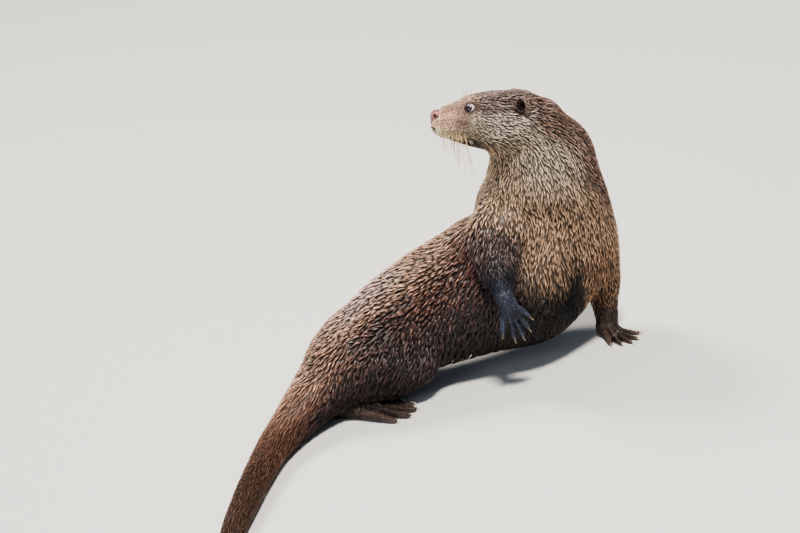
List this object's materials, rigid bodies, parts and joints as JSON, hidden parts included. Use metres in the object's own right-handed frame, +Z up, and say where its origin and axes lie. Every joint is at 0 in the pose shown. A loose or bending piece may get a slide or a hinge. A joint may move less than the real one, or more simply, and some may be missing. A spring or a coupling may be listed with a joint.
{
  "type": "Eurasian otter",
  "caption": "Life-size still model of a Eurasian otter on all but one paw, forequarters raised, right forepaw lifted and head turned back over its right side.",
  "frame": {"origin": "under the middle of the bounding box, at the level of the soles", "axes": "+X from the rump towards the chest, +Y towards the animal's left, which is away from a viewer in front, +Z up"},
  "size_m": [0.4906, 0.5074, 0.3138],
  "materials": {
    "coat": "wet brown fur",
    "coat_pale": "wet fur, paler on the throat and cheeks",
    "coat_tail": "wet dark brown fur",
    "paw_skin": "short damp fur over dark skin",
    "nose_skin": "damp bare skin",
    "eye_gloss": "glossy"
  },
  "bodies": {
    "root": {"head": "coat_pale", "jaw": "coat_pale", "neck": "coat_pale", "ear_left": "coat", "ear_right": "coat", "trunk_front": "coat", "trunk_rear": "coat", "tail_base": "coat_tail", "tail_tip": "coat_tail", "foreleg_left": "coat", "foreleg_right": "coat", "hindleg_left": "coat", "hindleg_right": "coat", "forepaw_left": "paw_skin", "forepaw_right": "paw_skin", "hindpaw_left": "paw_skin", "hindpaw_right": "paw_skin", "nose": "nose_skin", "eye_left": "eye_gloss", "eye_right": "eye_gloss"}
  },
  "joints": []
}
